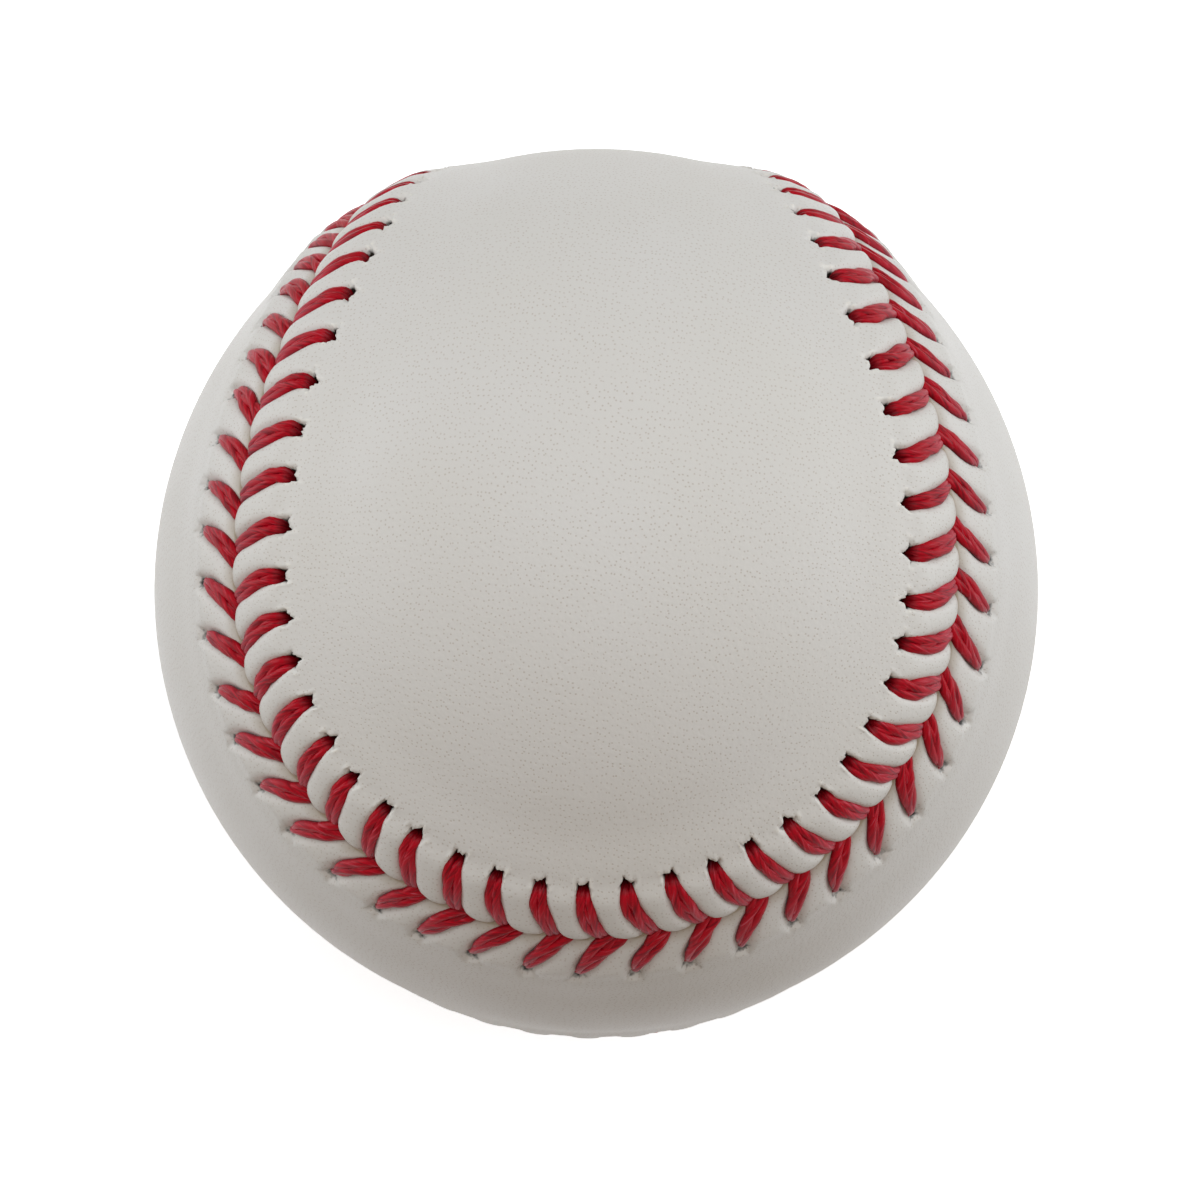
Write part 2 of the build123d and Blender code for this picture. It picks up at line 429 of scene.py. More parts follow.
@dataclass(frozen=True)
class MouldedCentre:
    """Moulded rubber, or cork granules bound with rubber: matt, with grains of a second colour."""

    name: str
    body: str
    grain: str
    grain_mm: float
    grain_share: float
    roughness: float
    relief_mm: float = 0.1
    relief_strength: float = 0.25

    def material(self) -> bpy.types.Material:
        """Build the moulded body and its grains.

        Returns:
            The material.
        """
        material, tree = blank_material(self.name)
        place = add(tree, "ShaderNodeTexCoord").outputs["Object"]
        cells = add(tree, "ShaderNodeTexVoronoi", {"Vector": place, "Scale": per_mm(self.grain_mm)})
        tone = add(tree, "ShaderNodeSeparateColor", {"Color": cells.outputs["Color"]})
        some = add(tree, "ShaderNodeMath", {0: tone.outputs[0], 1: self.grain_share}, operation="LESS_THAN")
        soft = add(tree, "ShaderNodeMath", {0: some.outputs[0], 1: tone.outputs[1]}, operation="MULTIPLY")
        colour = add(tree, "ShaderNodeMix", {
            0: soft.outputs[0], 6: linear(self.body), 7: linear(self.grain),
        }, data_type="RGBA")
        bump = add(tree, "ShaderNodeBump", {
            "Height": cells.outputs["Distance"], "Strength": self.relief_strength,
            "Distance": self.relief_mm * MM,
        })
        shader = add(tree, "ShaderNodeBsdfPrincipled", {
            "Base Color": colour.outputs[2], "Roughness": self.roughness, "Normal": bump.outputs[0],
        })
        add(tree, "ShaderNodeOutputMaterial", {"Surface": shader.outputs[0]})
        return material


@dataclass
class Seam:
    """The line where the panels meet, in millimetres: round lobe ends and straight runs between them."""

    radius: float = 37.15
    waist_width: float = 33.6
    straight_length: float = 17.0
    stitches_per_quarter: int = 27
    first_hole: float = 0.82
    axes: np.ndarray = field(init=False)
    starts: np.ndarray = field(init=False)
    polars: np.ndarray = field(init=False)
    begins: np.ndarray = field(init=False)
    ends: np.ndarray = field(init=False)
    length: float = field(init=False)
    count: int = field(init=False)
    pitch: float = field(init=False)
    first_station: float = field(init=False)

    def __post_init__(self) -> None:
        """Lay the eight stretches end to end."""
        waist = self.waist_width / 2 / self.radius
        half_run = self.straight_length / 2 / self.radius
        lobe = atan2(sqrt(2) * cos(half_run) - sin(waist), cos(waist))
        lean = pi / 2 - waist - lobe
        lobe_axis = Vector((0, -sin(lean), cos(lean)))
        crossing = Vector((1, 0, 1)).normalized()
        aside = lobe_axis - crossing * lobe_axis.dot(crossing)
        tilt = acos(sin(lobe) / aside.length)
        run_axis = aside.normalized() * cos(tilt) + aside.normalized().cross(crossing) * sin(tilt)
        join = (lobe_axis - run_axis * lobe_axis.dot(run_axis)).normalized()
        closed_end = Vector((0, -cos(lean), -sin(lean)))
        half_turn = atan2(join.x, join.dot(closed_end))
        first = closed_end * cos(half_turn) - Vector((1, 0, 0)) * sin(half_turn)
        quarter = [
            (lobe_axis, first, 2 * half_turn, lobe),
            (run_axis, join, 2 * join.angle(crossing), pi / 2),
        ]
        stretches = []
        for _ in range(QUARTERS):
            stretches += quarter
            quarter = [
                (-self.swapped(axis), self.swapped(start), sweep, pi - polar)
                for axis, start, sweep, polar in quarter
            ]
        self.axes, self.starts, sweeps, self.polars = (np.array(column) for column in zip(*stretches))
        lengths = self.radius * np.sin(self.polars) * sweeps
        self.ends = np.cumsum(lengths)
        self.begins = self.ends - lengths
        self.length = float(self.ends[-1])
        self.count = QUARTERS * self.stitches_per_quarter
        self.pitch = self.length / self.count
        self.first_station = self.first_hole - lengths[1] / 2

    @staticmethod
    def swapped(vector: Vector) -> Vector:
        """Carry one quarter of the seam to the next, which trades the two panels."""
        return Vector((vector.z, -vector.y, -vector.x))

    def frame(self, along: np.ndarray, offset: np.ndarray) -> tuple[np.ndarray, np.ndarray, np.ndarray]:
        """Give directions at places on the ball.

        Args:
            along: Distances along the seam.
            offset: Distances from the seam towards panel A.

        Returns:
            Outward, heading and towards-A unit vectors, one row for each place.
        """
        along = np.mod(along, self.length)
        at = np.minimum(np.searchsorted(self.ends, along), len(self.ends) - 1)
        axis, start = self.axes[at], self.starts[at]
        turn = ((along - self.begins[at]) / (self.radius * np.sin(self.polars[at])))[:, None]
        spoke = start * np.cos(turn) + np.cross(axis, start) * np.sin(turn)
        polar = (self.polars[at] - offset / self.radius)[:, None]
        outward = axis * np.cos(polar) + spoke * np.sin(polar)
        towards_a = axis * np.sin(polar) - spoke * np.cos(polar)
        return outward, np.cross(axis, spoke), towards_a

    def point(self, along: np.ndarray, offset: np.ndarray, height: np.ndarray) -> np.ndarray:
        """Give places at a height over the smooth ball, in millimetres."""
        return self.frame(along, offset)[0] * (self.radius + height)[:, None]


@dataclass
class Lacing:
    """Where each stitch comes out of the leather and goes down the seam, with a hand's small errors."""

    seam: Seam
    hole_offset: float = 4.7
    lead: dict[Side, float] = per_side(1.65, 2.75)
    bow: float = 1.65
    hole_error: float = 0.1
    width_error: float = 0.06
    notch_error: float = 0.06
    seed: int = 11
    hole_along: dict[Side, np.ndarray] = field(init=False)
    hole_distance: dict[Side, np.ndarray] = field(init=False)
    width: dict[Side, np.ndarray] = field(init=False)
    notch_along: dict[Side, np.ndarray] = field(init=False)
    slit_turn: dict[Side, np.ndarray] = field(init=False)

    def __post_init__(self) -> None:
        """Place the holes and the ends of the stitches on both sides."""
        chance = np.random.default_rng(self.seed)
        count = self.seam.count
        station = self.seam.first_station + np.arange(count) * self.seam.pitch
        self.hole_along = {side: station + chance.normal(0, self.hole_error, count) for side in Side}
        self.hole_distance = {
            side: self.hole_offset + chance.normal(0, self.hole_error, count) for side in Side
        }
        self.width = {side: 1 + chance.normal(0, self.width_error, count) for side in Side}
        self.notch_along = {
            side: station + self.lead[side] + chance.normal(0, self.notch_error, count) for side in Side
        }
        self.slit_turn = {side: chance.uniform(0, 2 * pi, count) for side in Side}

    def arm(self, side: Side, number: np.ndarray, distance: np.ndarray) -> tuple[np.ndarray, np.ndarray]:
        """Follow the middle of a stitch across the leather.

        Args:
            side: The panel that it crosses.
            number: Stitch numbers, counted on past a full turn of the seam.
            distance: Distances from the seam.

        Returns:
            Places along the seam, and the share of the stitch between its hole and the seam.
        """
        turns = np.floor_divide(number, self.seam.count)
        at = np.mod(number, self.seam.count)
        hole = self.hole_along[side][at]
        share = np.clip(1 - distance / self.hole_distance[side][at], 0, 1)
        along = hole + (self.notch_along[side][at] - hole) * share ** self.bow
        return along + turns * self.seam.length, share


@dataclass
class Shell:
    """The points of a leather shell, ring by ring, with what each point shows."""

    places: list[np.ndarray] = field(default_factory=list)
    shares: list[np.ndarray] = field(default_factory=list)
    total: int = 0

    def lay(self, place: np.ndarray, *shares: np.ndarray) -> np.ndarray:
        """Store points.

        Args:
            place: The points, one row each.
            shares: Their shares of painted shade and dirt in the seam groove, of hole, which is painted
                shade, and of torn edge, or none for clean leather.

        Returns:
            The numbers of these points.
        """
        self.places.append(place)
        self.shares.append(np.stack(shares) if shares else np.zeros((3, len(place))))
        self.total += len(place)
        return np.arange(self.total - len(place), self.total)


@dataclass
class CoverPanel:
    """One figure-eight of leather: flat over the lobes, lifted and puffed between the stitches.

    Sizes are in millimetres, measured from the edge. A span says where a change starts and where it is full.
    """

    seam: Seam
    lacing: Lacing
    side: Side
    thickness: float = 1.25
    lift: float = 0.62
    lift_span: tuple[float, float] = (11.0, 4.2)
    puff: dict[Side, float] = per_side(0.46, 0.32)
    puff_span: dict[Side, tuple[float, float]] = per_side((6.1, 3.4), (6.2, 3.7))
    press: float = 0.3
    press_span: tuple[float, float] = (5.4, 4.4)
    press_width: dict[Side, float] = per_side(0.72, 0.78)
    press_taper: float = 0.25
    press_slant: float = 0.12
    press_squareness: float = 1.4
    press_end: float = 0.3
    roll_width: float = 1.35
    roll_drop: dict[Side, float] = per_side(0.85, 0.28)
    slope_start: float = 4.3
    slope_drop: dict[Side, float] = per_side(0.0, 0.64)
    bulge: float = 0.26
    bulge_reach: float = 2.6
    gap: float = 0.03
    hole_depth: float = 1.0
    hole_width: float = 0.57
    hole_length: dict[Side, float] = per_side(0.61, 0.52)
    hole_shift: dict[Side, float] = per_side(0.29, 0.3)
    hole_share: dict[Side, float] = per_side(1.0, 0.5)
    hole_squareness: int = 4
    slit_count: int = 5
    slit_reach: float = 0.55
    slit_sharpness: int = 8
    slit_span: tuple[float, float] = (-0.1, 0.6)
    torn_height: dict[Side, float] = per_side(0.28, 0.12)
    torn_share: dict[Side, float] = per_side(0.8, 0.06)
    torn_ring: float = 1.3
    torn_width: float = 0.3
    torn_span: tuple[float, float] = (-0.9, 0.1)
    torn_scatter: float = 1.5
    # Painted shade and dirt along the seam: a dark line right at the slit, a softer band along the groove,
    # and painted shade where each stitch presses the leather.
    slit_shade_and_dirt: float = 0.95
    slit_shade_and_dirt_span: tuple[float, float] = (0.3, 0.02)
    shade_and_dirt_reach: dict[Side, float] = per_side(1.0, 1.8)
    groove_shade_and_dirt: dict[Side, float] = per_side(0.32, 0.5)
    groove_shade_and_dirt_span: tuple[float, float] = (1.1, 0.1)
    press_shade: float = 0.3
    seed: int = 5
    neighbours: tuple[int, ...] = (-1, 0, 1, 2)
    columns_per_stitch: int = 24
    quarter_columns_beyond: float = 7.3
    half_columns_beyond: float = 6.2
    rows: tuple[float, ...] = (
        13.0, 11.6, 10.3, 9.2, 8.3, 7.5, 6.9, 6.4, 6.0, 5.7, 5.45, 5.22, 5.0, 4.8, 4.6, 4.38, 4.1, 3.75,
        3.4, 3.05, 2.7, 2.35, 2.0, 1.7, 1.42, 1.17, 0.95, 0.75, 0.57, 0.42, 0.29, 0.18, 0.1, 0.04, 0.0,
    )
    edge_rows: tuple[tuple[int, float], ...] = ((2, 0.5), (4, 1.0))
    under_rows: tuple[float, ...] = (1.0, 3.0, 5.0, 7.0, 9.0, 11.0, 13.0)
    field_mm: float = 1.35
    field_clear: float = 0.6
    seam_samples: int = 1600
    chance: np.random.Generator = field(init=False)

    def __post_init__(self) -> None:
        """Start the panel's own random draws."""
        self.chance = np.random.default_rng(self.seed)

    def rise(self, distance: np.ndarray) -> np.ndarray:
        """Give the height that the thread under it lifts the leather to."""
        return self.lift * smooth(*self.lift_span, distance)

    def surface(self, along: np.ndarray, distance: np.ndarray) -> tuple[np.ndarray, ...]:
        """Shape the outside of the rim.

        Args:
            along: Places along the seam.
            distance: Distances from the edge.

        Returns:
            Heights over the smooth ball, and shares of painted shade and dirt in the seam groove, of hole,
            which also paints shade in the hole, and of torn edge.
        """
        side, lacing = self.side, self.lacing
        nearest = np.floor((along - self.seam.first_station) / self.seam.pitch).astype(int)
        pressed = np.zeros_like(along)
        hole = np.zeros_like(along)
        edge = np.zeros_like(along)
        clear = np.full_like(along, self.seam.pitch / 2)
        for step in self.neighbours:
            number = nearest + step
            middle, share = lacing.arm(side, number, distance)
            at = np.mod(number, self.seam.count)
            hole_distance = lacing.hole_distance[side][at]
            past = np.maximum(distance - hole_distance, 0)
            girth = 1 - self.press_taper + self.press_taper * np.sin(pi * share)
            width = self.press_width[side] * lacing.width[side][at] * girth
            across = (along - middle) * (1 - self.press_slant * share)
            outside = ((across / width) ** 2) ** self.press_squareness + (past / self.press_end) ** 2
            pressed = np.maximum(pressed, np.exp(-outside))
            clear = np.minimum(clear, np.abs(across))
            beyond = (distance - (hole_distance + self.hole_shift[side])) / self.hole_length[side]
            around = np.arctan2(beyond, across / self.hole_width)
            ray = np.cos((self.slit_count * around + lacing.slit_turn[side][at]) / 2)
            slit = ray ** self.slit_sharpness * smooth(*self.slit_span, beyond)
            away = np.hypot(across / self.hole_width, beyond) / (1 + self.slit_reach * slit)
            hole = np.maximum(hole, np.exp(-away ** self.hole_squareness))
            ring = np.exp(-((away - self.torn_ring) / self.torn_width) ** 2)
            edge = np.maximum(edge, ring * smooth(*self.torn_span, beyond))
        # The hole mask sinks the pit, and the leather paints the same mask dark as painted shade in the hole.
        # hole_share sets how much for each side.
        hole *= self.hole_share[side]
        torn = self.torn_share[side] * edge * self.chance.random(along.size) ** self.torn_scatter
        domed = 0.5 + 0.5 * np.sin(pi * clear / self.seam.pitch)
        puffed = self.puff[side] * smooth(*self.puff_span[side], distance) * (1 - pressed) * domed
        dented = self.press * pressed * smooth(*self.press_span, distance)
        inward = np.clip(1 - distance / self.roll_width, 0, 1)
        rolled = self.roll_drop[side] * (1 - np.sqrt(np.maximum(1 - inward ** 2, 0)))
        sloped = self.slope_drop[side] * np.clip(1 - distance / self.slope_start, 0, 1)
        height = self.rise(distance) + puffed - dented - rolled - sloped
        height += self.torn_height[side] * torn - self.hole_depth * hole
        # Painted shade and dirt: darkest at the slit, then a band along the groove between the stitches, plus
        # painted shade in the groove that each stitch presses, outside its hole.
        deep = distance / self.shade_and_dirt_reach[side]
        shade_and_dirt = self.slit_shade_and_dirt * smooth(*self.slit_shade_and_dirt_span, deep)
        shade_and_dirt += self.groove_shade_and_dirt[side] * smooth(*self.groove_shade_and_dirt_span, deep) * (1 - pressed)
        shade_and_dirt = np.maximum(np.clip(shade_and_dirt, 0, 1), self.press_shade * pressed * (1 - hole))
        return height, shade_and_dirt, hole, torn

    def unrolled(self, points: np.ndarray) -> np.ndarray:
        """Lay points of the panel out flat.

        Args:
            points: The points, one row each.

        Returns:
            Millimetres along and across the figure-eight, and a zero.
        """
        x, y, z = (points / np.linalg.norm(points, axis=1)[:, None]).T
        first, second, across = (y, z, x) if self.side is Side.A else (-y, x, z)
        flat = [np.arctan2(second, first), np.arcsin(np.clip(across, -1, 1)), np.zeros(len(points))]
        return np.stack(flat, axis=1) * self.seam.radius

    def columns(self, step: int) -> np.ndarray:
        """Give the places along the seam of every column, or of every so many."""
        count = self.columns_per_stitch * self.seam.count
        return np.arange(0, count, step) * self.seam.length / count

    def placed(self, along: np.ndarray, distance: np.ndarray, height: np.ndarray) -> np.ndarray:
        """Give points of the rim, whose edge on panel A rolls towards panel B between the stitches.

        Args:
            along: Places along the seam.
            distance: Distances from the edge.
            height: Heights over the smooth ball.

        Returns:
            The points, one row each.
        """
        turn = 2 * pi * (along - self.seam.first_station - self.lacing.lead[Side.A]) / self.seam.pitch
        shift = self.bulge * (1 - np.cos(turn)) / 2 * smooth(self.bulge_reach, 0, distance)
        return self.seam.point(along, self.side.value * (distance + self.gap) - shift, height)

    def fill(self, ring: np.ndarray) -> tuple[np.ndarray, np.ndarray]:
        """Fill the panel inside its rim.

        Args:
            ring: Unit vectors of the rim's inner ring.

        Returns:
            Unit vectors of the new points, and triangles over ring and new points, facing outwards.
        """
        count = int(4 * pi * self.seam.radius ** 2 / self.field_mm ** 2)
        number = np.arange(count) + 0.5
        level = 1 - 2 * number / count
        turn = pi * (1 + sqrt(5)) * number
        flat = np.sqrt(1 - level ** 2)
        points = np.stack([flat * np.cos(turn), flat * np.sin(turn), level], axis=1)
        along = np.linspace(0, self.seam.length, self.seam_samples, endpoint=False)
        outward, _, towards_a = self.seam.frame(along, np.zeros_like(along))
        near = points @ outward.T
        best = near.argmax(axis=1)
        distance = np.arccos(np.clip(near.max(axis=1), -1, 1)) * self.seam.radius
        inside = (points * towards_a[best]).sum(axis=1) * self.side.value > 0
        points = points[inside & (distance > self.rows[0] + self.field_clear * self.field_mm)]
        every = np.concatenate([ring, points])
        flat_map = every[:, [2, 0]] / (1 + self.side.value * every[:, 1:2]) * [1, self.side.value]
        loop = list(range(len(ring)))
        if self.side is Side.B:
            loop.reverse()
        found = delaunay_2d_cdt([Vector(place) for place in flat_map], [], [loop], 1, TINY)
        triangles = np.array([[found[3][corner][0] for corner in face] for face in found[2]])
        corners = every[triangles]
        facing = np.cross(corners[:, 1] - corners[:, 0], corners[:, 2] - corners[:, 0])
        wrong = (facing * corners[:, 0]).sum(axis=1) < 0
        triangles[wrong] = triangles[wrong][:, ::-1]
        return points, triangles

    @staticmethod
    def strip(first: np.ndarray, second: np.ndarray) -> list[tuple[int, ...]]:
        """Join two closed rings of points, one of which may have half as many.

        Args:
            first: Numbers of the first ring's points.
            second: Numbers of the second ring's points.

        Returns:
            The faces between them.
        """
        if len(first) == len(second):
            return list(zip(first, np.roll(first, -1), np.roll(second, -1), second))
        faces = []
        few, many = (second, first) if len(first) > len(second) else (first, second)
        for at in range(len(few)):
            here, after = few[at], few[(at + 1) % len(few)]
            start, middle, end = many[2 * at], many[2 * at + 1], many[(2 * at + 2) % len(many)]
            three = [(start, middle, here), (middle, after, here), (middle, end, after)]
            faces += three if few is second else [face[::-1] for face in three]
        return faces

    def build(self, name: str, material: bpy.types.Material) -> bpy.types.Object:
        """Make the closed leather shell.

        Args:
            name: The piece's name.
            material: The leather.

        Returns:
            The panel.
        """
        shell = Shell()
        rings = []
        for distance in self.rows:
            sparse = distance > self.quarter_columns_beyond
            along = self.columns(4 if sparse else 2 if distance > self.half_columns_beyond else 1)
            away = np.full_like(along, distance)
            height, *shares = self.surface(along, away)
            rings.append(shell.lay(self.placed(along, away, height), *shares))
        edge_height = height
        for step, depth in self.edge_rows:
            along = self.columns(step)
            away = np.zeros_like(along)
            height = edge_height[::step] * (1 - depth) + (self.rise(away) - self.thickness) * depth
            # The cut edge down into the slit gets the full painted shade and dirt of the groove.
            rings.append(shell.lay(self.placed(along, away, height), np.ones_like(along), away, away))
        for distance in self.under_rows:
            away = np.full_like(along, distance)
            rings.append(shell.lay(self.placed(along, away, self.rise(away) - self.thickness)))
        faces = [face for first, second in zip(rings, rings[1:]) for face in self.strip(first, second)]
        if self.side is Side.A:
            faces = [face[::-1] for face in faces]
        rim = shell.places[0] / np.linalg.norm(shell.places[0], axis=1)[:, None]
        inner, triangles = self.fill(rim)
        outer_radius = self.seam.radius
        inner_radius = outer_radius - self.thickness
        for ring, radius, turned in ((rings[0], outer_radius, False), (rings[-1], inner_radius, True)):
            numbers = np.concatenate([ring, shell.lay(inner * radius)])
            faces += [tuple(face[::-1] if turned else face) for face in numbers[triangles]]
        points = np.concatenate(shell.places)
        mesh = bpy.data.meshes.new(name)
        mesh.from_pydata(points * MM, [], [tuple(map(int, face)) for face in faces])
        for label, values in zip(("shade_and_dirt", "hole", "torn"), np.concatenate(shell.shares, axis=1)):
            note(mesh, label, values)
        note(mesh, "hide", self.unrolled(points))
        mesh.shade_smooth()
        mesh.materials.append(material)
        return put_in_scene(name, mesh)


@dataclass
class TwistedStrands:
    """The node tree that twists the strands of a thread along its route, built once for both threads."""

    material: bpy.types.Material
    strand_count: int = 3
    strand_sides: int = 10
    strand_share: float = 0.32
    twist_length: float = 13.0
    steps: int = 2
    least_depth: float = 0.04
    fibre_slant: float = 0.3
    fibre_girth: float = 0.36
    tree: bpy.types.GeometryNodeTree = field(init=False)

    def __post_init__(self) -> None:
        """Build the tree, with the strands' sizes as inputs."""
        tree = self.tree = bpy.data.node_groups.new("twisted_strands", "GeometryNodeTree")
        for label, kind in (
            ("Route", "Geometry"), ("Strand Count", "Int"), ("Strand Sides", "Int"),
            ("Strand Share", "Float"), ("Twist Length", "Float"),
        ):
            tree.interface.new_socket(name=label, in_out="INPUT", socket_type=f"NodeSocket{kind}")
        tree.interface.new_socket(name="Thread", in_out="OUTPUT", socket_type="NodeSocketGeometry")
        given = add(tree, "NodeGroupInput").outputs
        line = add(tree, "GeometryNodeMeshToCurve", {"Mesh": given["Route"]})
        kind = add(tree, "GeometryNodeCurveSplineType", {"Curve": line.outputs[0]}, spline_type="CATMULL_ROM")
        fine = add(tree, "GeometryNodeSetSplineResolution", {
            "Geometry": kind.outputs[0], "Resolution": self.steps,
        })
        curve = add(tree, "GeometryNodeResampleCurve", {"Curve": fine.outputs[0]}, mode="EVALUATED")
        copies = add(tree, "GeometryNodeDuplicateElements", {
            "Geometry": curve.outputs[0], "Amount": given["Strand Count"],
        }, domain="SPLINE")
        strand = copies.outputs["Duplicate Index"]
        travel = add(tree, "GeometryNodeSplineParameter").outputs["Length"]
        across, width, thickness, run, top = (
            add(tree, "GeometryNodeInputNamedAttribute", {"Name": label}, data_type=kind).outputs[0]
            for label, kind in (
                ("across", "FLOAT_VECTOR"), ("half_width", "FLOAT"), ("half_thickness", "FLOAT"),
                ("strand_run", "FLOAT_VECTOR"), ("strand_top", "FLOAT_VECTOR"),
            )
        )
        flow = add(tree, "GeometryNodeInputTangent").outputs[0]
        stack = add(tree, "ShaderNodeVectorMath", {0: flow, 1: across}, operation="CROSS_PRODUCT")
        turns = add(tree, "ShaderNodeMath", {0: travel, 1: given["Twist Length"]}, operation="DIVIDE")
        part = add(tree, "ShaderNodeMath", {0: strand, 1: given["Strand Count"]}, operation="DIVIDE")
        turn = add(tree, "ShaderNodeMath", {0: turns.outputs[0], 1: part.outputs[0]}, operation="ADD")
        angle = add(tree, "ShaderNodeMath", {0: turn.outputs[0], 1: 2 * pi}, operation="MULTIPLY")
        flat = add(tree, "ShaderNodeMath", {0: thickness, 1: width}, operation="MINIMUM")
        mean = add(tree, "ShaderNodeMath", {0: flat.outputs[0], 1: width}, operation="ADD")
        radius = add(tree, "ShaderNodeMath", {
            0: mean.outputs[0], 1: given["Strand Share"],
        }, operation="MULTIPLY")
        moves = []
        for half, least, wave, way in (
            (width, 0.0, "COSINE", across),
            (flat.outputs[0], self.least_depth * MM, "SINE", stack.outputs[0]),
        ):
            room = add(tree, "ShaderNodeMath", {0: half, 1: radius.outputs[0]}, operation="SUBTRACT")
            reach = add(tree, "ShaderNodeMath", {0: room.outputs[0], 1: least}, operation="MAXIMUM")
            swing = add(tree, "ShaderNodeMath", {0: angle.outputs[0]}, operation=wave)
            far = add(tree, "ShaderNodeMath", {
                0: swing.outputs[0], 1: reach.outputs[0],
            }, operation="MULTIPLY").outputs[0]
            moves.append(add(tree, "ShaderNodeVectorMath", {0: way, "Scale": far}, operation="SCALE"))
        shift = add(tree, "ShaderNodeVectorMath", {
            0: moves[0].outputs[0], 1: moves[1].outputs[0],
        }, operation="ADD")
        length_mm = add(tree, "ShaderNodeMath", {0: travel, 1: 1 / MM}, operation="MULTIPLY")
        slant_mm = add(tree, "ShaderNodeMath", {0: travel, 1: self.fibre_slant / MM}, operation="MULTIPLY")
        marks = add(tree, "ShaderNodeCombineXYZ", {
            "X": slant_mm.outputs[0], "Y": length_mm.outputs[0], "Z": strand,
        })
        noted = copies
        for label, value in (("strand_run", marks.outputs[0]), ("strand_top", stack.outputs[0])):
            noted = add(tree, "GeometryNodeStoreNamedAttribute", {
                "Geometry": noted.outputs[0], "Name": label, "Value": value,
            }, data_type="FLOAT_VECTOR", domain="POINT")
        laid = add(tree, "GeometryNodeSetPosition", {
            "Geometry": noted.outputs[0], "Offset": shift.outputs[0],
        })
        ring = add(tree, "GeometryNodeCurvePrimitiveCircle", {
            "Resolution": given["Strand Sides"], "Radius": 1.0,
        }, mode="RADIUS")
        noted = add(tree, "GeometryNodeCurveToMesh", {
            "Curve": laid.outputs[0], "Profile Curve": ring.outputs[0], "Scale": radius.outputs[0],
            "Fill Caps": True,
        })
        normal = add(tree, "GeometryNodeInputNormal").outputs[0]
        facing = add(tree, "ShaderNodeVectorMath", {0: normal, 1: across}, operation="DOT_PRODUCT")
        girth = add(tree, "ShaderNodeMath", {
            0: facing.outputs["Value"], 1: self.fibre_girth,
        }, operation="MULTIPLY")
        round_it = add(tree, "ShaderNodeCombineXYZ", {"X": girth.outputs[0]})
        spot = add(tree, "ShaderNodeVectorMath", {0: run, 1: round_it.outputs[0]}, operation="ADD")
        # strand_rise says how far each point faces out of the thread. The thread's material uses it to paint
        # shade in the gaps between strands.
        rise = add(tree, "ShaderNodeVectorMath", {0: normal, 1: top}, operation="DOT_PRODUCT")
        for label, value, kind in (
            ("strand_place", spot.outputs[0], "FLOAT_VECTOR"),
            ("strand_rise", rise.outputs["Value"], "FLOAT"),
        ):
            noted = add(tree, "GeometryNodeStoreNamedAttribute", {
                "Geometry": noted.outputs[0], "Name": label, "Value": value,
            }, data_type=kind, domain="POINT")
        soft = add(tree, "GeometryNodeSetShadeSmooth", {"Geometry": noted.outputs[0]})
        real = add(tree, "GeometryNodeRealizeInstances", {"Geometry": soft.outputs[0]})
        dressed = add(tree, "GeometryNodeSetMaterial", {
            "Geometry": real.outputs[0], "Material": self.material,
        })
        add(tree, "NodeGroupOutput", {"Thread": dressed.outputs[0]})

    def twist(self, thread: bpy.types.Object) -> None:
        """Turn a thread's route into a plain mesh of strands.

        Args:
            thread: The thread, whose mesh is its route.
        """
        modifier = thread.modifiers.new("strands", "NODES")
        modifier.node_group = self.tree
        sizes = {
            "Strand Count": self.strand_count,
            "Strand Sides": self.strand_sides,
            "Strand Share": self.strand_share,
            "Twist Length": self.twist_length * MM,
        }
        for item in self.tree.interface.items_tree:
            if item.name in sizes:
                modifier[item.identifier] = sizes[item.name]
        graph = bpy.context.evaluated_depsgraph_get()
        made = bpy.data.meshes.new_from_object(thread.evaluated_get(graph), depsgraph=graph)
        thread.modifiers.remove(modifier)
        thread.data = made
        made.name = thread.name


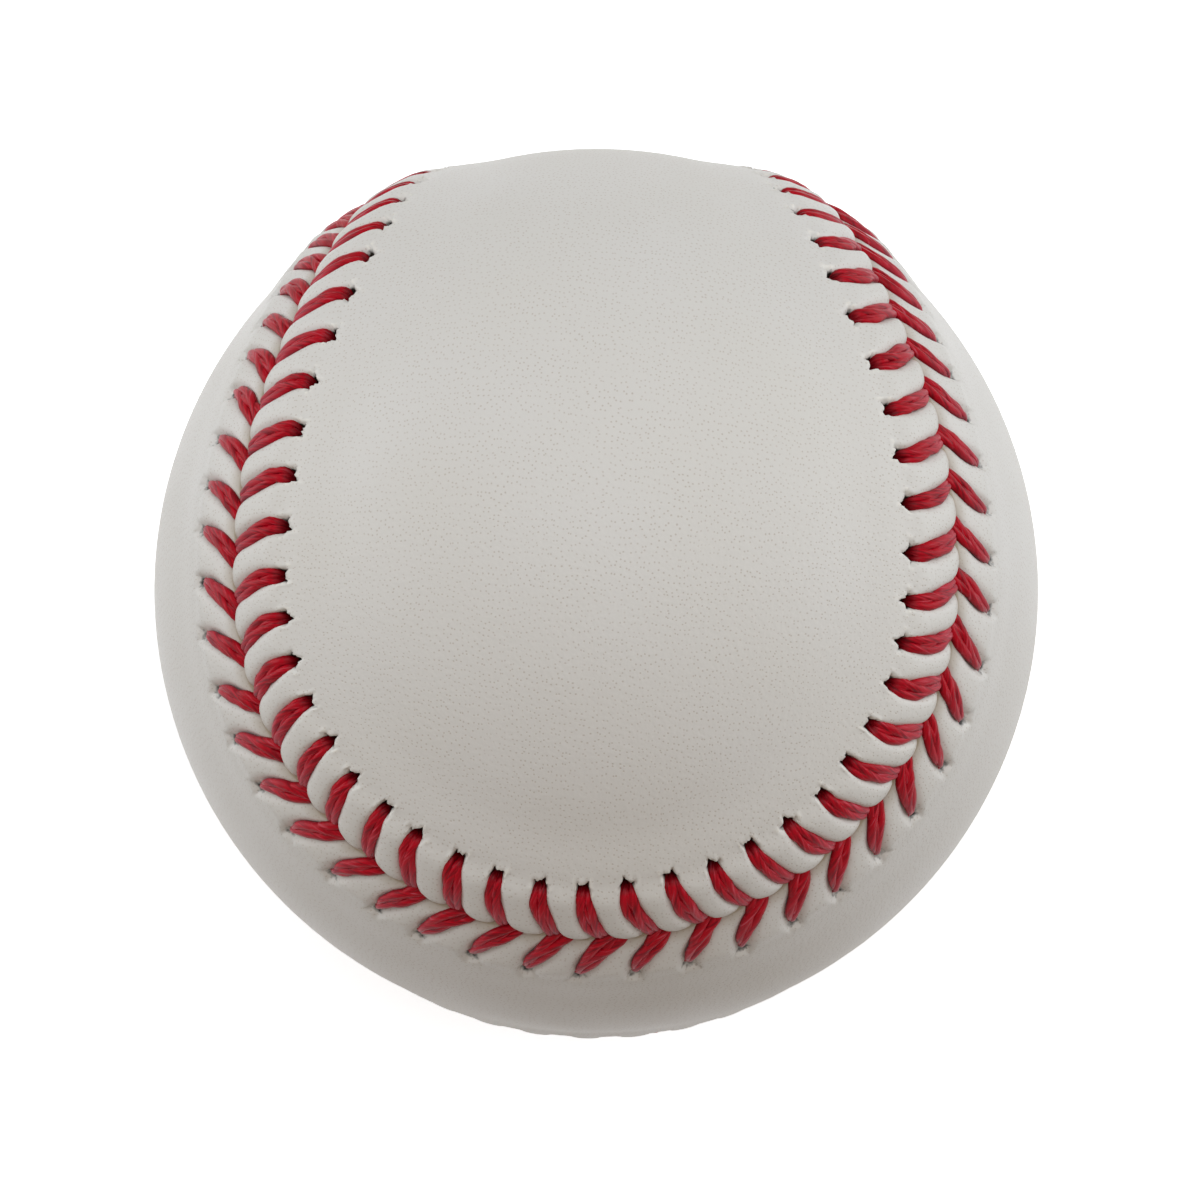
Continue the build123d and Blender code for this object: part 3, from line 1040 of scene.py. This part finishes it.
@dataclass
class LacingThread:
    """One waxed thread: up through a hole, flat over the leather, down the seam and under the other panel."""

    seam: Seam
    lacing: Lacing
    first_side: Side
    under_height: float = -1.0
    hole_height: float = -0.1
    arm_height: float = 0.58
    arm_arch: float = 0.14
    arm_drop: dict[Side, float] = per_side(0.0, 0.4)
    hole_drop: float = 0.34
    hole_dive: dict[Side, int] = per_side(14, 8)
    seam_drop: float = 0.3
    seam_dive: int = 7
    half_width: float = 0.81
    half_thickness: float = 0.38
    hidden_half: float = 0.38
    hole_half: float = 0.62
    hole_play: dict[Side, float] = per_side(-0.02, 0.14)
    # At the hole end of each stitch: how much painted sheen it has, and how much daylight, whose lack paints
    # shade.
    hole_sheen: dict[Side, float] = per_side(0.0, 1.0)
    hole_daylight: dict[Side, float] = per_side(0.0, 0.1)
    hidden_share: float = 0.5
    tuck: dict[Side, float] = per_side(0.2, -0.1)
    arm_shares: tuple[float, ...] = (0.04, 0.14, 0.28, 0.42, 0.56, 0.7, 0.84, 0.95)
    swell_shares: tuple[float, ...] = (0.0, 0.28, 0.62, 1.0)
    swell: dict[Side, tuple[float, ...]] = per_side((0.9, 1.0, 1.0, 0.72), (0.3, 0.8, 1.1, 1.14))
    width_error: float = 0.05
    seed: int = 3

    def route(self) -> dict[str, np.ndarray]:
        """Follow the thread through every hole.

        Returns:
            Points, directions across the thread, half widths and thicknesses, painted sheen, and daylight,
            whose lack paints shade, by name.
        """
        stops = []
        side = self.first_side
        chance = np.random.default_rng(self.seed)
        for number in range(self.seam.count):
            hole = self.lacing.hole_along[side][number]
            notch = self.lacing.notch_along[side][number]
            deep = self.lacing.hole_distance[side][number] - self.hole_play[side]
            tuck, pale_flecks_and_sheen, lit = self.tuck[side], self.hole_sheen[side], self.hole_daylight[side]
            for level, half in ((self.under_height, self.hidden_half), (self.hole_height, self.hole_half)):
                stops.append((hole, side.value * deep, level, half, pale_flecks_and_sheen, lit))
            for share in self.arm_shares:
                along = hole + (notch - hole) * share ** self.lacing.bow
                offset = side.value * (tuck + (deep - tuck) * (1 - share))
                sunk = self.hole_drop * (1 - share) ** self.hole_dive[side]
                sunk += self.seam_drop * share ** self.seam_dive + self.arm_drop[side] * share
                height = self.arm_height + self.arm_arch * sin(pi * share) - sunk
                swell = np.interp(share, self.swell_shares, self.swell[side])
                swell *= chance.normal(1, self.width_error)
                width = self.half_width * swell * self.lacing.width[side][number]
                # The painted sheen grows towards one end of the stitch, and the painted shade grows towards
                # its hole.
                stops.append((along, offset, height, width, abs(pale_flecks_and_sheen - share), lit + (1 - lit) * share))
            for level in (self.hole_height, self.under_height):
                stops.append((notch, side.value * tuck / 2, level, self.hidden_half, 1 - pale_flecks_and_sheen, 1.0))
            halfway = notch + (self.seam.pitch - self.lacing.lead[side]) / 2
            stops.append((
                halfway, -side.value * deep / 2, self.under_height, self.hidden_half,
                self.hidden_share, self.hidden_share,
            ))
            side = Side(-side.value)
        along, offset, height, width, painted_sheen, daylight = np.array(stops).T
        points = self.seam.point(along, offset, height)
        outward = self.seam.frame(along, offset)[0]
        flow = np.gradient(points, axis=0)
        level_flow = flow - outward * (flow * outward).sum(axis=1)[:, None]
        across = np.cross(outward, level_flow)
        across /= np.maximum(np.linalg.norm(across, axis=1), TINY)[:, None]
        thickness = np.minimum(self.half_thickness, width)
        return {
            "points": points * MM, "across": across, "half_width": width * MM,
            "half_thickness": thickness * MM, "painted_sheen": painted_sheen, "daylight": daylight,
        }

    def build(self, name: str, strands: TwistedStrands) -> bpy.types.Object:
        """Make the thread as a plain mesh of twisted strands.

        Args:
            name: The piece's name.
            strands: The tree that twists them.

        Returns:
            The thread.
        """
        route = self.route()
        points = route.pop("points")
        mesh = bpy.data.meshes.new(name + "_route")
        mesh.from_pydata(points, [(at, at + 1) for at in range(len(points) - 1)], [])
        for label, values in route.items():
            note(mesh, label, values)
        thread = put_in_scene(name, mesh)
        strands.twist(thread)
        return thread


CORK = MouldedCentre("moulded_cork", "#a77d4f", "#4b3a2a", 0.9, 0.35, 0.85)
BLACK_RUBBER = MouldedCentre("black_moulded_rubber", "#191817", "#242321", 0.5, 0.4, 0.6)
RED_RUBBER = MouldedCentre("red_moulded_rubber", "#8a2620", "#6f1d19", 0.5, 0.4, 0.55)


@dataclass
class WoundCentre:
    """What the cover hides: the cushioned cork centre and four windings of yarn."""

    finishes: dict[str, MouldedCentre | WoundYarn] = field(default_factory=lambda: {
        "cork_core": CORK,
        "rubber_cup_lower": BLACK_RUBBER,
        "rubber_cup_upper": BLACK_RUBBER,
        "rubber_washer": RED_RUBBER,
        "rubber_jacket": RED_RUBBER,
        "first_winding": WoundYarn("four_ply_grey_wool", "#b3aea5", "#5d5953", 1.6),
        "second_winding": WoundYarn("three_ply_white_wool", "#efe9dc", "#a59f92", 1.2),
        "third_winding": WoundYarn("three_ply_grey_wool", "#b3aea5", "#5d5953", 1.2),
        "fourth_winding": WoundYarn("white_finishing_yarn", "#f2efe6", "#b4afa4", 0.6),
    })

    def dress(self) -> None:
        """Give each hidden CAD node its finish."""
        made = {}
        for node, finish in self.finishes.items():
            if finish.name not in made:
                made[finish.name] = finish.material()
            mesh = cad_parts[node].data
            mesh.materials.clear()
            mesh.materials.append(made[finish.name])
            LOG.info("%s: %s", node, finish.name)


@dataclass(frozen=True)
class SoftLamp:
    """A square lamp that faces the ball, whose level is 1 where a white surface facing it shows white."""

    name: str
    direction: tuple[float, float, float]
    size: float
    level: float
    colour: str = "#f3f9ff"
    away: float = 0.7

    def hang(self) -> None:
        """Hang the lamp in its direction from the ball."""
        data = bpy.data.lights.new(self.name, "AREA")
        data.shape = "SQUARE"
        data.size = self.size
        data.energy = self.level * pi ** 2 * self.away ** 2
        data.color = linear(self.colour)[:3]
        lamp = put_in_scene(self.name, data)
        back = Vector(self.direction).normalized()
        lamp.location = back * self.away
        lamp.rotation_euler = back.to_track_quat("Z", "Y").to_euler()


@dataclass
class Studio:
    """Plain pale floor, soft lamps and the camera at the photograph's angle."""

    floor_level: float = -37.15
    floor_size: float = 3.0
    floor_tone: str = "#4c443c"
    near_floor: float = 0.25
    far_floor: float = 0.7
    near_glow: float = 0.55
    far_glow: float = 1.0
    sky_tone: str = "#fff1e4"
    sky_level: float = 0.25
    elevation: float = 69.8
    distance: float = 223.6
    lens: float = 78.7
    sensor: float = 36.0
    clip: tuple[float, float] = (0.005, 20.0)
    aim_right: float = 0.31
    aim_down: float = 0.78
    lamps: tuple[SoftLamp, ...] = (
        SoftLamp("key", (0.08, 0.03, 1.0), 0.7, 0.56),
        SoftLamp("left_fill", (-0.95, 0.22, 0.25), 0.6, 0.58),
        SoftLamp("right_fill", (0.95, 0.22, 0.25), 0.6, 0.59),
        SoftLamp("front_bounce", (0.0, -0.9, 0.45), 0.6, 0.06, "#ffd0a0"),
    )

    def floor(self) -> None:
        """Lay the floor, which shows white round the soft shadow."""
        half = self.floor_size / 2
        level = self.floor_level * MM
        corners = [(-half, -half, level), (half, -half, level), (half, half, level), (-half, half, level)]
        mesh = bpy.data.meshes.new("floor")
        mesh.from_pydata(corners, [], [(0, 1, 2, 3)])
        material, tree = blank_material("white_paper")
        shown = seen_rays(tree)
        tone = add(tree, "ShaderNodeMix", {
            0: shown, 6: linear(self.floor_tone), 7: linear(WHITE),
        }, data_type="RGBA")
        paper = add(tree, "ShaderNodeBsdfDiffuse", {"Color": tone.outputs[2]})
        spot = add(tree, "ShaderNodeTexCoord").outputs["Object"]
        far = add(tree, "ShaderNodeVectorMath", {0: spot}, operation="LENGTH")
        fade = add(tree, "ShaderNodeMapRange", {
            "Value": far.outputs["Value"], "From Min": self.near_floor, "From Max": self.far_floor,
            "To Min": self.near_glow, "To Max": self.far_glow,
        })
        glow = add(tree, "ShaderNodeMath", {0: shown, 1: fade.outputs[0]}, operation="MULTIPLY")
        lit = add(tree, "ShaderNodeEmission", {"Strength": glow.outputs[0]})
        both = add(tree, "ShaderNodeAddShader", {0: paper.outputs[0], 1: lit.outputs[0]})
        add(tree, "ShaderNodeOutputMaterial", {"Surface": both.outputs[0]})
        mesh.materials.append(material)
        floor = put_in_scene("floor", mesh)

    def light(self) -> None:
        """Light the ball from above, with the sides filled and the front left dim, under a dim warm sky."""
        for lamp in self.lamps:
            lamp.hang()
        world = bpy.data.worlds.new("studio")
        world.use_nodes = True
        tree = world.node_tree
        tree.nodes.clear()
        shown = seen_rays(tree)
        level = add(tree, "ShaderNodeMapRange", {"Value": shown, "To Min": self.sky_level, "To Max": 1.0})
        tone = add(tree, "ShaderNodeMix", {
            0: shown, 6: linear(self.sky_tone), 7: linear(WHITE),
        }, data_type="RGBA")
        sky = add(tree, "ShaderNodeBackground", {"Color": tone.outputs[2], "Strength": level.outputs[0]})
        add(tree, "ShaderNodeOutputWorld", {"Surface": sky.outputs[0]})
        bpy.context.scene.world = world

    def camera(self) -> None:
        """Stand the camera where the photograph was taken from."""
        rise = radians(self.elevation)
        back = Vector((0, -cos(rise), sin(rise)))
        up = Vector((0, sin(rise), cos(rise)))
        aim = Vector((1, 0, 0)) * self.aim_right - up * self.aim_down
        data = bpy.data.cameras.new("camera")
        data.lens = self.lens
        data.sensor_width = self.sensor
        data.clip_start, data.clip_end = self.clip
        camera = put_in_scene("camera", data)
        camera.location = (back * self.distance + aim) * MM
        camera.rotation_euler = back.to_track_quat("Z", "Y").to_euler()
        bpy.context.scene.camera = camera

    def build(self) -> None:
        """Set up the whole studio."""
        self.floor()
        self.light()
        self.camera()
        bpy.context.scene.view_settings.view_transform = "Standard"


def main() -> None:
    """Build every piece in order and say what was made."""
    logging.basicConfig(level=logging.INFO)
    Studio().build()
    seam = Seam()
    lacing = Lacing(seam)
    leather = CoverLeather().material()
    strands = TwistedStrands(WaxedThread().material())
    for side, letter in ((Side.A, "a"), (Side.B, "b")):
        panel = CoverPanel(seam, lacing, side).build(f"leather_panel_{letter}", leather)
        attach(panel, "root")
        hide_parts(f"cover_panel_{letter}")
        LOG.info("%s: %d faces", panel.name, len(panel.data.polygons))
        thread = LacingThread(seam, lacing, side).build(f"waxed_thread_{letter}", strands)
        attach(thread, "root")
        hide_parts(f"lacing_thread_{letter}")
        LOG.info("%s: %d faces", thread.name, len(thread.data.polygons))
    WoundCentre().dress()


if __name__ == "__main__":
    main()
